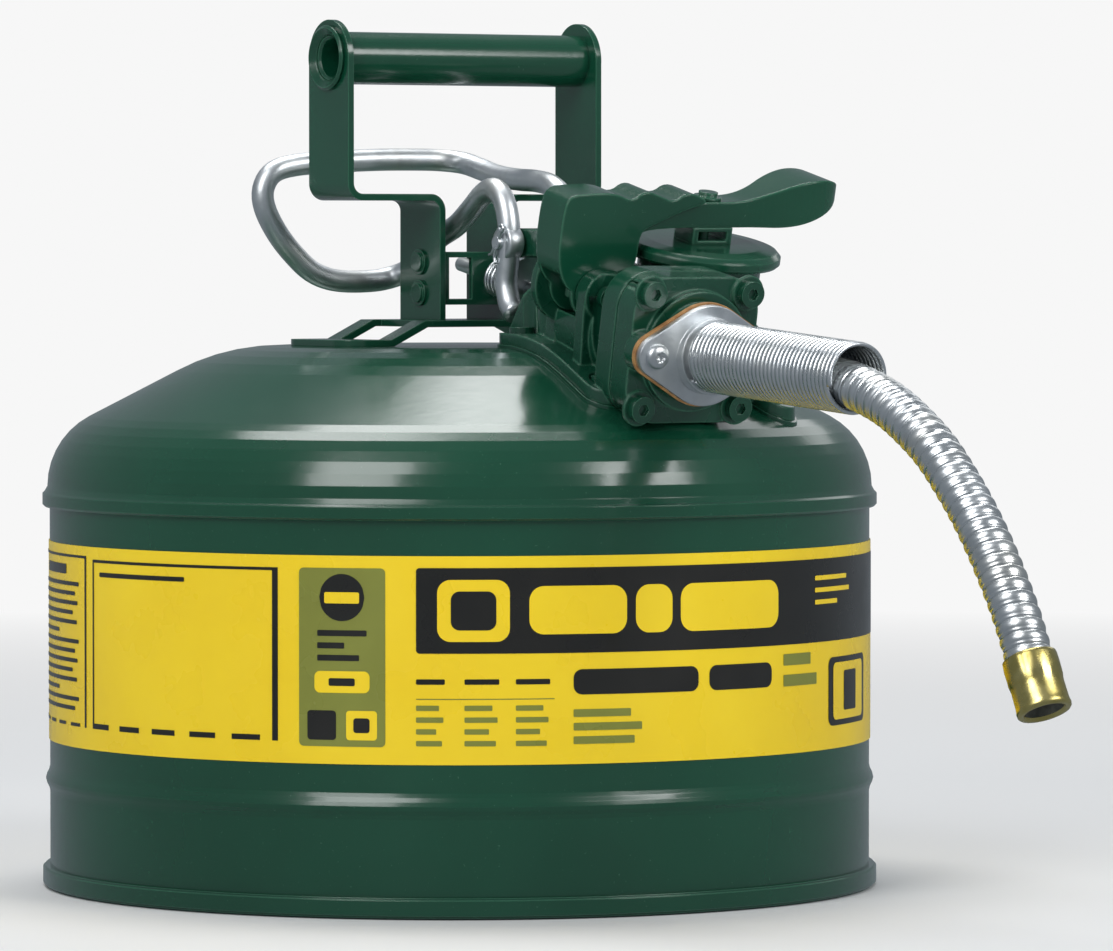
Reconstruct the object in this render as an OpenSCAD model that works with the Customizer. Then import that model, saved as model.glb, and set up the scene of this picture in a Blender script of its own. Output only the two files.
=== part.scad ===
// Type II safety gas can, 2.5 US gallons: a seamed steel can with a fixed carrying handle, a cast manifold
// with a self-closing fill cap and a trigger valve, and a flexible metal pouring hose.
// +Z is up. The origin is the centre of the base. The handle runs along X, and the hose points to -Y.

/* [Can] */
// Outside radius of the plain body wall
body_r = 146.6; // [140:0.1:150]
// Radius over the two rolled seams
seam_r = 149.2; // [148:0.1:152]
// Thickness of the sheet steel
wall = 1; // [0.8:0.1:1.4]
// Height of the lower face of the top seam
body_top = 134.8; // [130:0.2:140]
// Height of the flat crown of the top
crown_z = 192; // [190:0.5:194]
// Height of the strengthening bead
bead_z = 37.8; // [30:0.2:44]

/* [Label] */
// Lower edge of the wrap-round label
label_z0 = 52; // [48:0.5:60]
// Upper edge of the wrap-round label
label_z1 = 122.8; // [110:0.2:126]

/* [Handle] */
// Height of the grip tube's axis
grip_z = 294; // [290:0.5:300]
// Outside radius of the grip tube
grip_r = 9.3; // [8:0.1:10]
// Half the distance between the middles of the upper straps
strap_x = 52; // [50:0.5:54]
// Half the distance between the middles of the lower straps
strap_foot_x = 14; // [14:0.5:16]
// Width of the straps
strap_w = 27; // [24:0.5:30]
// Thickness of the straps
strap_t = 2.3; // [2:0.1:3]
// Height of the middle of the straps' level step
step_z = 244.8; // [243:0.2:247]

/* [Manifold] */
// Sideways place of the valve's axis
valve_x = 7; // [6:0.5:8]
// Downward tilt of the valve's axis towards the hose, in degrees
valve_tilt = 11; // [10:0.5:12]
// Distance of the valve cover's face from the can's axis
cover_y = 139; // [137:0.5:140]
// Height of the valve cover's centre
cover_z = 192; // [191:0.5:193]
// Side of the square valve cover
cover_side = 51; // [48:0.5:52]
// Spacing of the valve cover's screws
cover_pitch = 40; // [38:0.5:41]

/* [Fill cap] */
// Tilt of the fill neck towards the hose, in degrees
neck_tilt = 13; // [11:0.5:14]
// Outside radius of the cap
cap_r = 28; // [26:0.5:29]
// Outside radius of the fill neck
neck_r = 21.6; // [20:0.2:22]
// Bore radius of the fill neck
neck_bore_r = 18.6; // [17:0.2:19]
// Distance from the hinge pin to the middle of the cap
cap_reach = 47; // [46:0.5:48]

/* [Trigger] */
// Diameter of the trigger's steel rod
rod_d = 8; // [7:0.2:8]
// Height of the trigger's pivot
pivot_z = 228.6; // [228:0.2:230]
// Distance of the trigger's pivot from the can's axis
pivot_y = 42; // [41:0.5:43]
// Half the distance between the trigger's two arms
arm_half = 13; // [13:0.2:14]

/* [Hose] */
// Outside diameter of the flexible hose
hose_d = 15.9; // [14:0.5:17]
// Outside radius of the close-wound spring guard
guard_r = 12.3; // [11.5:0.1:13]
// Length of the spring guard
guard_l = 86; // [80:1:100]
// Tilt of the spring guard, in degrees
guard_tilt = 4; // [3:0.5:6]

/* [Hidden] */

$fn = 96;
eps = 0.02;
green = "#1f5a3c";
zinc = "#b9bfc4";

seam_h = 5.4;
base_seam_h = 6.9;
bead_h = 9;
bead_out = 1.5;
shoulder_r = 28;
shoulder_z = body_top + seam_h + 1.8;
shoulder_a = 62;
crown_r = 77;
crown_a = 28;
crown_flat = 65;
dome_r = body_r + 0.8;
fit = 0.04;
gap = 0.3;

// A closed outline with its corners cut round, in a number of passes.
function soft(p, passes) = passes == 0 ? p : soft([
  for (i = [0:len(p) - 1]) let (q = p[(i + 1) % len(p)]) each [0.75 * p[i] + 0.25 * q, 0.25 * p[i] + 0.75 * q]
], passes - 1);

// Points along an arc in a plane, from angle a0 to a1 in n steps.
function arc(cx, cy, r, a0, a1, n) =
  [for (i = [0:n]) let (a = a0 + (a1 - a0) * i / n) [cx + r * cos(a), cy + r * sin(a)]];

// Outline of the domed top, offset outwards by d, from its rim to its middle.
function dome_line(d) = concat(
  arc(dome_r - shoulder_r, shoulder_z, shoulder_r + d, 0, shoulder_a, 7),
  arc(crown_flat, crown_z - crown_r, crown_r + d, 90 - crown_a, 90, 5),
  [[0, crown_z + d]]
);

// Everything under the domed top, out to an offset d, down to the height of the seam.
module under_dome(d) {
  rotate_extrude() polygon(concat([[0, 100], [dome_r + d, 100]], dome_line(d)));
}

// Frame of the valve: its origin is on the cover's face, and -Y points out along the axis.
module valve_frame() {
  translate([valve_x, -cover_y, cover_z]) rotate([valve_tilt, 0, 0]) children();
}

// Frame of the fill cap: its origin is on the hinge pin, and Z points up along the fill neck.
hinge_x = -10;
hinge_y = -96.7;
hinge_z = 213.4;
module cap_frame() {
  translate([hinge_x, hinge_y, hinge_z]) rotate([neck_tilt, 0, 0]) children();
}

// A cylinder whose axis runs along Y, centred on the origin.
module along_y(r, h) { rotate([90, 0, 0]) cylinder(r = r, h = h, center = true); }

// A cylinder whose axis runs along X, centred on the origin.
module along_x(r, h) { rotate([0, 90, 0]) cylinder(r = r, h = h, center = true); }

// A flat plate with round corners, its outline in XZ and its thickness along Y from 0 to t.
module round_plate(w, h, r, t) {
  translate([0, t, 0]) rotate([90, 0, 0]) linear_extrude(t) rounded(w, h, r);
}

// A rectangle with true round corners.
module rounded(w, h, r) {
  square([w - 2 * r, h], center = true);
  square([w, h - 2 * r], center = true);
  for (x = [-1, 1], y = [-1, 1]) translate([x * (w / 2 - r), y * (h / 2 - r)]) circle(r);
}

// ---------- Can ----------

// One rolled bead: the body's outline swells out and back over the bead's height.
function bead(r, z) = [
  for (i = [0:6]) [r + bead_out * (1 - cos(i * 60)) / 2, z + bead_h * (i / 6 - 0.5)]
];

module can_body() {
  color(green) rotate_extrude() polygon(concat(
    [[body_r, base_seam_h]], bead(body_r, bead_z), [[body_r, body_top], [body_r - wall, body_top]],
    [for (i = [6:-1:0]) bead(body_r - wall, bead_z)[i]], [[body_r - wall, base_seam_h]]
  ));
}

// The bottom sheet sits up inside its rolled seam, so that the can stands on the seam.
module can_bottom() {
  floor_z = 3.2;
  color(green) difference() {
    union() {
      cylinder(r = seam_r - 0.8, h = base_seam_h);
      translate([0, 0, 0.8]) cylinder(r = seam_r, h = base_seam_h - 1.6);
    }
    translate([0, 0, -1]) cylinder(r = body_r - 3, h = floor_z + 1);
    translate([0, 0, floor_z + wall]) cylinder(r = body_r - 3, h = base_seam_h);
  }
}

module can_top() {
  color(green) difference() {
    union() {
      rotate_extrude() polygon(concat(
        [[body_r - 3, body_top], [seam_r - 0.8, body_top], [seam_r, body_top + 0.8],
         [seam_r, body_top + seam_h - 0.8], [seam_r - 0.8, body_top + seam_h]],
        dome_line(0), [[0, crown_z - wall]],
        [for (i = [13:-1:0]) dome_line(-wall)[i]]
      ));
    }
    port_cuts();
    foot_holes(2.4);
  }
}

// The two holes through the top: one under the fill neck and one under the valve.
module port_cuts() {
  cap_frame() translate([cap_reach, 0, -60]) cylinder(r = neck_bore_r, h = 60);
  translate([pour_x, pour_y, 150]) cylinder(r = port_r, h = 60);
}
pour_x = valve_x - 2;
pour_y = -88;
port_r = 9;

module label_wrap() {
  color("#f2c81e") difference() {
    translate([0, 0, label_z0]) cylinder(r = body_r + 0.4, h = label_z1 - label_z0);
    translate([0, 0, label_z0 - 1]) cylinder(r = body_r + eps, h = label_z1 - label_z0 + 2);
  }
}

// ---------- Handle ----------

bridge_top = 201.2;
bridge_t = 2.4;
bridge_w = 44;

// A pressed strip across the crown: two welded feet, four sloping legs and a level top.
module handle_bridge() {
  slope_x0 = 28;
  slope_x1 = 42;
  foot_x = 61;
  foot_z = crown_z + 0.05;
  half = [
    [0, bridge_top], [slope_x0, bridge_top], [slope_x1, foot_z + bridge_t], [foot_x, foot_z + bridge_t],
    [foot_x, foot_z], [slope_x1 - 1, foot_z], [slope_x0 - 1, bridge_top - bridge_t],
    [0, bridge_top - bridge_t]
  ];
  color(green) difference() {
    for (s = [0, 1]) mirror([s, 0, 0]) difference() {
      intersection() {
        translate([0, bridge_w / 2, 0]) rotate([90, 0, 0]) linear_extrude(bridge_w) polygon(half);
        translate([0, 0, 180]) linear_extrude(30) rounded(2 * foot_x, bridge_w, 9);
      }
      translate([24.5, -13.5, 180]) cube([18, 27, 30]);
    }
    under_dome(0.03);
  }
}

// The handle stands a little towards the rear of the bridge's middle.
handle_shift = -1.5;
module on_handle() { translate([handle_shift, 0, 0]) children(); }

// The straps are bent inwards in a level step, then down to the bridge.
module strap() {
  t = strap_t;
  bend = 6;
  difference() {
    union() {
      translate([strap_x - t / 2, -strap_w / 2, step_z + bend - t / 2]) {
        cube([t, strap_w, grip_z - step_z - bend + t / 2]);
      }
      translate([strap_x, 0, grip_z]) along_x(strap_w / 2, t);
      translate([strap_foot_x + bend - t / 2, -strap_w / 2, step_z - t / 2]) {
        cube([strap_x - strap_foot_x - 2 * bend + t, strap_w, t]);
      }
      translate([strap_foot_x - t / 2, -strap_w / 2, bridge_top]) {
        cube([t, strap_w, step_z - bend + t / 2 - bridge_top]);
      }
      translate([strap_x - bend + t / 2, 0, step_z + bend - t / 2]) bend_quarter(bend, t, 0);
      translate([strap_foot_x + bend - t / 2, 0, step_z - bend + t / 2]) bend_quarter(bend, t, 180);
    }
    translate([strap_x, 0, grip_z]) along_x(grip_r - 1.5, 10);
    for (z = rivet_zs) translate([strap_foot_x, 0, z]) along_x(2.6, 10);
  }
}
rivet_zs = [210.8, 221.8];

// A quarter ring of outer radius r and thickness t, centred on its bend line.
module bend_quarter(r, t, turn) {
  rotate([0, turn, 0]) rotate([90, 0, 0]) intersection() {
    difference() {
      cylinder(r = r, h = strap_w, center = true);
      cylinder(r = r - t, h = strap_w + 2, center = true);
    }
    translate([0, -r - 1, -strap_w]) cube([r + 1, r + 1, 2 * strap_w]);
  }
}

module rear_strap() { color(green) on_handle() mirror([1, 0, 0]) strap(); }
module front_strap() { color(green) on_handle() strap(); }

// The grip's ends are flared over the straps, and a neck of the tube passes through each strap.
module grip_tube() {
  inner = strap_x - strap_t / 2;
  outer = strap_x + strap_t / 2;
  color(green) rotate([0, 90, 0]) rotate_extrude() polygon([
    [grip_r, -inner], [grip_r, inner], [grip_r - 1.5, inner], [grip_r - 1.5, outer],
    [grip_r + 1.6, outer], [grip_r + 2.2, outer + 1.2], [grip_r + 1.2, outer + 2],
    [grip_r - 2.6, outer - 1], [grip_r - 2.6, -outer + 1], [grip_r + 1.2, -outer - 2],
    [grip_r + 2.2, -outer - 1.2], [grip_r + 1.6, -outer], [grip_r - 1.5, -outer], [grip_r - 1.5, -inner]
  ]);
}

module grip_in_place() { on_handle() translate([0, 0, grip_z]) grip_tube(); }

module strap_rivets() {
  x = strap_foot_x;
  color(green) on_handle() for (s = [-1, 1], z = rivet_zs) translate([s * x, 0, z]) {
    along_x(2.6, strap_t + 3.2);
    translate([s * (strap_t / 2 + 0.5), 0, 0]) along_x(4.6, 1);
    translate([s * (strap_t / 2 + 1.2), 0, 0]) along_x(3.4, 1.4);
  }
}

// A channel between the two straps that carries the stem and takes the spring's thrust.
bracket_y0 = -12.6;
bracket_y1 = 3;
module spring_bracket() {
  w = 2 * (strap_foot_x - strap_t / 2) - 0.1;
  color(green) difference() {
    on_handle() translate([-w / 2, bracket_y0, 206.6]) cube([w, bracket_y1 - bracket_y0, 18.8]);
    on_handle() translate([-w / 2 + 2, bracket_y0 + 2, 208.6]) cube([w - 4, bracket_y1 - bracket_y0, 14.8]);
    on_handle() translate([-w / 2 + 2, bracket_y0 - 1, 208.6]) cube([9.5, 4, 14.8]);
    valve_frame() along_y(stem_r + 0.4, 400);
    on_handle() for (s = [-1, 1], z = rivet_zs) translate([s * (w / 2), 0, z]) along_x(2.6, 5);
  }
}

// ---------- Manifold ----------

gasket_t = 1.2;

// Outline of the manifold's foot, seen from above.
foot_screws = [[-13, -62], [-13, -114], [58, -66], [58, -113]];
module foot_outline(d) {
  translate([-21 - d, -114 - d]) square([40 + 2 * d, 52 + 2 * d]);
  translate([-13, -122 - d]) square([50, 68 + 2 * d]);
  translate([0, -113 - d]) square([66 + d, 47 + 2 * d]);
  for (p = foot_screws) translate(p) circle(8 + d);
}

// Height of the domed top at a distance from its axis, out to the shoulder.
function dome_z(r) = r < crown_flat ? crown_z :
  r < 101.15 ? crown_z - crown_r + sqrt(crown_r * crown_r - (r - crown_flat) * (r - crown_flat)) :
  182.99 - 0.519 * (r - 101.15);

// Height of the seat of a screw in the manifold's foot.
function foot_top(p) = dome_z(norm(p)) + 4.4;

module manifold_gasket() {
  color("#2a2d2b") difference() {
    intersection() {
      translate([0, 0, 150]) linear_extrude(60) foot_outline(0.8);
      under_dome(gasket_t);
    }
    under_dome(eps);
    port_cuts();
    foot_holes(2.6);
    valve_frame() cover_points() along_y(2.6, 60);
  }
}

module foot_holes(r) {
  for (p = foot_screws) translate([p[0], p[1], 140]) cylinder(r = r, h = 80);
}

module manifold_body() {
  color(green) difference() {
    union() {
      foot();
      valve_housing();
      fill_neck();
      hinge_ears();
      pivot_arm();
      ribs();
    }
    under_dome(gasket_t + eps);
    foot_holes(2.3);
    for (p = foot_screws) translate([p[0], p[1], foot_top(p)]) cylinder(r = 5, h = 30);
    valve_frame() {
      translate([0, 15, 0]) along_y(17, 32);
      translate([0, 45, 0]) along_y(8.5, 34);
      translate([0, 80, 0]) along_y(stem_r + fit, 90);
      cover_points() along_y(2, 60);
    }
    translate([pour_x, pour_y, 150]) cylinder(r = port_r, h = 50);
    cap_frame() translate([cap_reach, 0, -60]) cylinder(r = neck_bore_r, h = 90);
    cap_frame() along_y(hinge_r + fit, 60);
    cap_frame() lever_room();
    cap_frame() for (s = [-1, 1]) translate([0, s * (ear_out + 3.4), 0]) along_y(4.5, 6);
    cap_room();
    translate([valve_x, -pivot_y, pivot_z]) along_x(pin_r + fit, 60);
  }
}

module foot() {
  intersection() {
    translate([0, 0, 140]) linear_extrude(80) foot_outline(0);
    under_dome(gasket_t + 4);
  }
}

module valve_housing() {
  valve_frame() {
    translate([0, 33, 0]) along_y(21.5, 44);
    translate([0, 11, 0]) round_plate(cover_side, cover_side, 13, 9);
    translate([0, 60, 0]) along_y(15, 22);
    translate([0, 74, 0]) along_y(9, 14);
    translate([-15, 14, -34]) cube([30, 42, 30]);
  }
}

module fill_neck() {
  cap_frame() translate([cap_reach, 0, 0]) {
    translate([0, 0, -42]) cylinder(r = neck_r, h = neck_top + 42);
    translate([0, 0, -42]) cylinder(r = neck_r + 2, h = 30);
  }
}
neck_top = 10.2;

ear_in = 8;
ear_out = 14.5;
hinge_r = 2.5;
module hinge_ears() {
  web = [[-8.2, 0], [-6, 6], [0, 8.2], [8, 7.2], [27, -3], [27, -30], [-6, -30]];
  t = ear_out - ear_in;
  cap_frame() {
    translate([0, -(ear_in + ear_out) / 2, 0]) {
      along_y(8.2, t);
      rotate([90, 0, 0]) linear_extrude(t - 1.5, center = true) polygon(web);
    }
    translate([0, ear_in + 1.6, 0]) along_y(14.5, 3.2);
    translate([0, ear_in + 4.6, 0]) along_y(11.5, 3.8);
    translate([-4, ear_in, -28]) cube([24, t, 26]);
  }
}

// Room for the closed cap over the corner of the valve's flange.
module cap_room() {
  cap_frame() translate([cap_reach, 0, neck_top - 0.6]) difference() {
    cylinder(r = cap_r + 0.8, h = 30);
    translate([0, 0, -1]) cylinder(r = neck_r, h = 1.6);
  }
}

// Room for the lever and the arm to swing between the ears.
module lever_room() {
  along_y(10.4, 2 * ear_in);
  translate([-30, -ear_in, -3]) cube([47, 2 * ear_in, 60]);
}

// The arm that reaches back over the stem to carry the trigger's pin.
lug_w = 17;
module pivot_arm() {
  translate([valve_x, -pivot_y, pivot_z]) along_x(5.2, lug_w);
  translate([valve_x - lug_w / 2, -72, 224]) cube([lug_w, 30, 9.4]);
  translate([valve_x - lug_w / 2, -76, 196]) cube([lug_w, 16, 37.4]);
  translate([valve_x - 1, -66, 214]) along_x(15, lug_w - 2);
}

module ribs() {
  translate([valve_x - 17, 0, 0]) rotate([90, 0, 90]) linear_extrude(4) {
    polygon([[-41, 188], [-59.5, 212.6], [-62.5, 212.6], [-67, 188]]);
  }
  translate([-7, -72, 186]) cylinder(r = 5, h = 22);
  translate([-7, -72, 208]) cylinder(r1 = 5, r2 = 3, h = 3);
}

module manifold_screws() {
  color(green) for (p = foot_screws) translate([p[0], p[1], foot_top(p)]) {
    cylinder(r = 4.4, h = 2.8);
    translate([0, 0, -12]) cylinder(r = 2.2, h = 12.1);
  }
}

// The four corners where the valve cover is screwed on.
module cover_points() {
  for (x = [-1, 1], z = [-1, 1]) translate([x * cover_pitch / 2, 0, z * cover_pitch / 2]) children();
}

module cover_gasket() {
  color("#2a2d2b") valve_frame() difference() {
    translate([0, 10, 0]) round_plate(cover_side - 0.6, cover_side - 0.6, 13, 1 - eps);
    translate([0, 10, 0]) along_y(17, 4);
    cover_points() along_y(2.6, 40);
    out_of_valve_frame() cover_relief();
  }
}

// Undoes the valve's frame, for cuts that are stated in the can's own frame.
module out_of_valve_frame() {
  rotate([-valve_tilt, 0, 0]) translate([-valve_x, cover_y, -cover_z]) children();
}

// The cover clears the can's shoulder below and the fill cap above.
module cover_relief() {
  under_dome(0.4);
  cap_room();
}

// The cover plate carries the outlet's boss outside and the valve's seat inside.
boss_t = 6;
module valve_cover() {
  color(green) valve_frame() difference() {
    union() {
      round_plate(cover_side, cover_side, 13, 10 - eps);
      translate([0, -1.4, 0]) along_y(21, 2.9);
      cover_points() translate([0, -0.5, 0]) along_y(6.2, 1.1);
      translate([0, -boss_t / 2, 0]) along_y(17, boss_t + eps);
      for (s = [-1, 1]) translate([s * spout_pitch / 2, -boss_t / 2, 0]) along_y(7, boss_t + eps);
      translate([-spout_pitch / 2, -boss_t, -7]) cube([spout_pitch, boss_t + eps, 14]);
      translate([0, 10, 0]) along_y(12, 3.9);
    }
    translate([0, 5, 0]) along_y(9.5, 40);
    cover_points() along_y(2.6, 40);
    for (s = [-1, 1]) translate([s * spout_pitch / 2, -boss_t, 0]) along_y(2, 14);
    out_of_valve_frame() cover_relief();
  }
}
spout_pitch = 42;

module cover_screws() {
  color(green) valve_frame() cover_points() difference() {
    union() {
      translate([0, -2.6 - eps, 0]) along_y(4.6, 3);
      translate([0, 7, 0]) along_y(1.98, 20);
    }
    translate([0, -3.7, 0]) rotate([90, 0, 0]) cylinder(r = 2.2, h = 2.4, center = true, $fn = 6);
  }
}

// A diamond with round corners: the shape of the spout's flange and of its gasket.
module diamond(t, d) {
  rotate([90, 0, 0]) linear_extrude(t, center = true) hull() {
    circle(guard_r + 5.2 + d, $fn = 64);
    for (s = [-1, 1]) translate([s * spout_pitch / 2, 0]) circle(7 + d, $fn = 48);
  }
}

module spout_gasket() {
  color("#b5793a") valve_frame() difference() {
    translate([0, -boss_t - 0.8, 0]) diamond(1.5, 0.6);
    translate([0, -boss_t, 0]) along_y(9.5, 8);
    for (s = [-1, 1]) translate([s * spout_pitch / 2, -boss_t, 0]) along_y(2.6, 8);
  }
}

// The spring guard leaves the flange a little more level than the flange's own axis.
module guard_frame() {
  valve_frame() translate([0, -boss_t - 4, 0]) rotate([guard_tilt - valve_tilt, 0, 0]) children();
}

module spout_flange() {
  color(zinc) difference() {
    union() {
      valve_frame() translate([0, -boss_t - 2.85, 0]) diamond(2.5, 0);
      guard_frame() {
        translate([0, -1.5, 0]) along_y(guard_r + 0.8, 4.6);
        translate([0, -12, 0]) along_y(guard_r - 1.8, 22);
      }
    }
    guard_frame() translate([0, -10, 0]) along_y(8.3, 60);
    valve_frame() for (s = [-1, 1]) translate([s * spout_pitch / 2, -boss_t, 0]) along_y(2.6, 12);
  }
}

module spout_screws() {
  color(zinc) valve_frame() for (s = [-1, 1]) translate([s * spout_pitch / 2, -boss_t, 0]) difference() {
    union() {
      translate([0, -5.6, 0]) along_y(4.4, 2.8);
      translate([0, -0.6, 0]) along_y(1.95, 8);
    }
    for (a = [0, 90]) translate([0, -6.6, 0]) rotate([0, a, 0]) cube([4.4, 1.6, 0.9], center = true);
  }
}

wire = 1.5;
module spring_guard() {
  turns = 30;
  pitch = guard_l / turns;
  color(zinc) guard_frame() translate([0, -4, 0]) rotate([90, 0, 0]) rotate_extrude() polygon(concat(
    [[guard_r - wire, 0]],
    [for (i = [0:turns - 1], k = [0:1]) [guard_r - (k == 0 ? 0.45 : 0), (i + k * 0.5) * pitch]],
    [[guard_r - 0.45, guard_l], [guard_r - wire, guard_l]]
  ));
}

// ---------- Hose ----------

// The hose's route, as distances out from the can's axis and heights, in the plane of the valve.
hose_route = [
  [163, 188.7], [180, 187.5], [200, 186], [220, 184], [238, 180.9], [254.7, 176], [268, 169.7],
  [282, 161], [295, 149.5], [305, 139], [314.7, 126.8], [325.6, 110.5], [333.1, 96.2]
];
hose_rings = 4;

// A point along a smooth curve through the route; t runs from 0 to the number of its spans.
function route_at(t) = let (
  n = len(hose_route) - 1,
  i = min(floor(t), n - 1),
  f = t - i,
  a = hose_route[max(i - 1, 0)],
  b = hose_route[i],
  c = hose_route[i + 1],
  d = hose_route[min(i + 2, n)]
) b + f * (c - a) / 2 + f * f * (a - 2.5 * b + 2 * c - d / 2)
  + f * f * f * (1.5 * b - a / 2 - 1.5 * c + d / 2);

// One ring of points round a path that stays in a plane of constant X.
function ring(x, p, dir, r, sides) = [
  for (k = [0:sides - 1]) let (a = 360 * k / sides)
    [x + r * cos(a), -(p[0] - r * sin(a) * dir[1]), p[1] + r * sin(a) * dir[0]]
];

function unit(v) = v / norm(v);

module hose() {
  steps = (len(hose_route) - 1) * hose_rings;
  sides = 12;
  pts = [for (i = [0:steps]) let (
    t = i / hose_rings,
    dir = unit(route_at(min(t + 0.02, steps / hose_rings)) - route_at(max(t - 0.02, 0)))
  ) each ring(valve_x, route_at(t), dir, hose_d / 2, sides)];
  color(zinc) tube_mesh(pts, steps, sides);
}

// A closed tube over rings of points, each with the same number of sides.
module tube_mesh(pts, steps, sides) {
  polyhedron(points = pts, faces = concat(
    [[for (k = [0:sides - 1]) k]],
    [[for (k = [sides - 1:-1:0]) steps * sides + k]],
    [for (i = [0:steps - 1], k = [0:sides - 1]) let (j = (k + 1) % sides, b = i * sides)
      [b + k, b + sides + k, b + sides + j, b + j]]
  ));
}

// The brass end sits on the last stretch of the hose and carries on along it.
hose_end = hose_route[len(hose_route) - 1];
end_dir = unit(hose_end - route_at(len(hose_route) - 1.05));
module hose_tip() {
  color("#b08d3c") translate([valve_x, -hose_end[0], hose_end[1]]) {
    rotate([180 - atan2(-end_dir[0], end_dir[1]) - 180, 0, 0]) {
      rotate_extrude() polygon([
        [6.6, 0.02], [8.9, 0.02], [9.2, 0.6], [9.2, 8], [8.8, 10], [8.8, 17], [9.1, 18], [8.8, 19.5],
        [7.2, 19.5], [6.6, 18]
      ]);
    }
  }
}

// ---------- Trigger ----------

pin_r = 2.4;
loop_y = 32;
near_x = valve_x - arm_half;
far_x = valve_x + arm_half;
hook_z = 205.5;

// The rod's route: hook, eye and arch of the rear arm, the squeezing loop, then the front arm.
rod_route = [
  [near_x, -46.4, hook_z - 2], [near_x, -42.9, hook_z + 1.5], [near_x, -41, 212],
  [near_x, -40.6, 216], [near_x, -41.6, 222], [near_x, -42.4, pivot_z], [near_x, -42, 236],
  [near_x, -39, 243.5], [near_x, -33, 247.6], [near_x, -26, 246.2], [near_x, -18, 241],
  [near_x, -8, 235], [near_x, 4, 230.6], [near_x, 14, 225.6], [near_x, 23, 219.6],
  [near_x - 3.4, 30, 216.4], [near_x - 12, loop_y, 214.8], [-32, loop_y, 215], [-42, loop_y, 218],
  [-50, loop_y, 224.3], [-57, loop_y, 232.2], [-62, loop_y, 241], [-62.6, loop_y, 248],
  [-58.4, loop_y, 253.8], [-49, loop_y, 256.4], [-33, loop_y, 257.6], [-16, loop_y, 258.4],
  [0, loop_y, 258.6], [11, loop_y - 0.6, 258.4], [far_x - 2, 26.5, 257.4], [far_x, 18, 255.2],
  [far_x, 6, 252.6], [far_x, -8, 251.2], [far_x, -20, 250.6], [far_x, -30, 248.8],
  [far_x, -37.4, 244], [far_x, -41.4, 236.5], [far_x, -42.4, pivot_z], [far_x, -41.6, 222],
  [far_x, -40.6, 216], [far_x, -41, 212], [far_x, -42.9, hook_z + 1.5], [far_x, -46.4, hook_z - 2]
];

// Turns a direction by the shortest way from one heading to the next.
function carry(n, d) = unit(n - (n * d) * d);

// Side directions along the route, carried from ring to ring so that the tube never twists.
function sides_along(dirs, i, n) = i == len(dirs) ? [] :
  let (m = carry(n, dirs[i])) concat([m], sides_along(dirs, i + 1, m));

module rod(route, r, sides) {
  last = len(route) - 1;
  dirs = [for (i = [0:last]) unit(route[min(i + 1, last)] - route[max(i - 1, 0)])];
  normals = sides_along(dirs, 0, [1, 0, 0.01]);
  pts = [for (i = [0:last]) let (n = normals[i], b = cross(dirs[i], n)) each
    [for (k = [0:sides - 1]) let (a = 360 * k / sides) route[i] + r * (cos(a) * n + sin(a) * b)]];
  tube_mesh(pts, last, sides);
}

module trigger_rod() {
  color(zinc) difference() {
    union() {
      rod(rod_route, rod_d / 2, 12);
      for (x = [near_x, far_x]) translate([x, -pivot_y, pivot_z]) along_x(6.2, 6);
    }
    translate([valve_x, -pivot_y, pivot_z]) along_x(pin_r, 60);
  }
}

module trigger_pin() {
  reach = arm_half + 5.5;
  color(zinc) translate([valve_x, -pivot_y, pivot_z]) {
    along_x(pin_r - eps, 2 * reach);
    translate([reach + 0.8, 0, 0]) along_x(4, 1.8);
  }
}

module pin_clip() {
  color(zinc) translate([valve_x - arm_half - 4.9, -pivot_y, pivot_z]) difference() {
    along_x(3.6, 0.9);
    along_x(pin_r, 3);
  }
}

// ---------- Valve ----------

stem_r = 2.6;
collar_a = 105;

module valve_stem() {
  color(zinc) valve_frame() translate([0, 16 + 68, 0]) along_y(stem_r, 136);
}

module stem_collar() {
  color(zinc) valve_frame() translate([0, collar_a + 1, 0]) difference() {
    along_y(12, 2);
    along_y(stem_r + eps, 4);
  }
}

module valve_disc() {
  color(zinc) valve_frame() translate([0, 14.5, 0]) along_y(13, 3 - 2 * eps);
}

module valve_seal() {
  color("#202020") valve_frame() translate([0, 12.5, 0]) difference() {
    along_y(12.5, 1);
    along_y(9.5, 4);
  }
}

// A row of rings stands for the coil spring round the stem.
module valve_spring() {
  from = collar_a + 2.2;
  to = 127;
  rings = 7;
  color(zinc) valve_frame() rotate([-90, 0, 0]) rotate_extrude() {
    for (i = [0:rings - 1]) translate([6.5, from + 0.8 + i * (to - from - 1.6) / (rings - 1)]) {
      circle(0.75, $fn = 16);
    }
    translate([5.9, from]) square([0.6, to - from]);
  }
}

// ---------- Fill cap ----------

cap_top = 15.7;
module fill_cap() {
  color(green) cap_frame() translate([cap_reach, 0, 0]) rotate_extrude() polygon([
    [2.1, neck_top + 2], [cap_r - 3.6, neck_top + 2], [cap_r - 3.4, cap_top - 5], [cap_r - 1, cap_top - 5],
    [cap_r, cap_top - 4], [cap_r, cap_top - 1.6], [cap_r - 1.6, cap_top], [cap_r - 8, cap_top + 0.6],
    [2.1, cap_top + 0.6]
  ]);
}

module cap_seal() {
  color("#202020") cap_frame() translate([cap_reach, 0, neck_top + 0.1]) difference() {
    cylinder(r = cap_r - 4.2, h = 1.88);
    translate([0, 0, -1]) cylinder(r = neck_bore_r - 1, h = 6);
  }
}

// The short pressed channel that joins the cap to the arm above it.
arm_under = 22.4;
module cap_post() {
  z0 = cap_top + 0.62;
  color(green) cap_frame() translate([cap_reach, 0, 0]) difference() {
    translate([-8, -6, z0]) cube([16, 12, arm_under - z0 - eps]);
    translate([-6, -7, z0 + 1.4]) cube([12, 14, arm_under - z0 - 2.8]);
    cylinder(r = 2.1, h = 60);
  }
}

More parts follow.
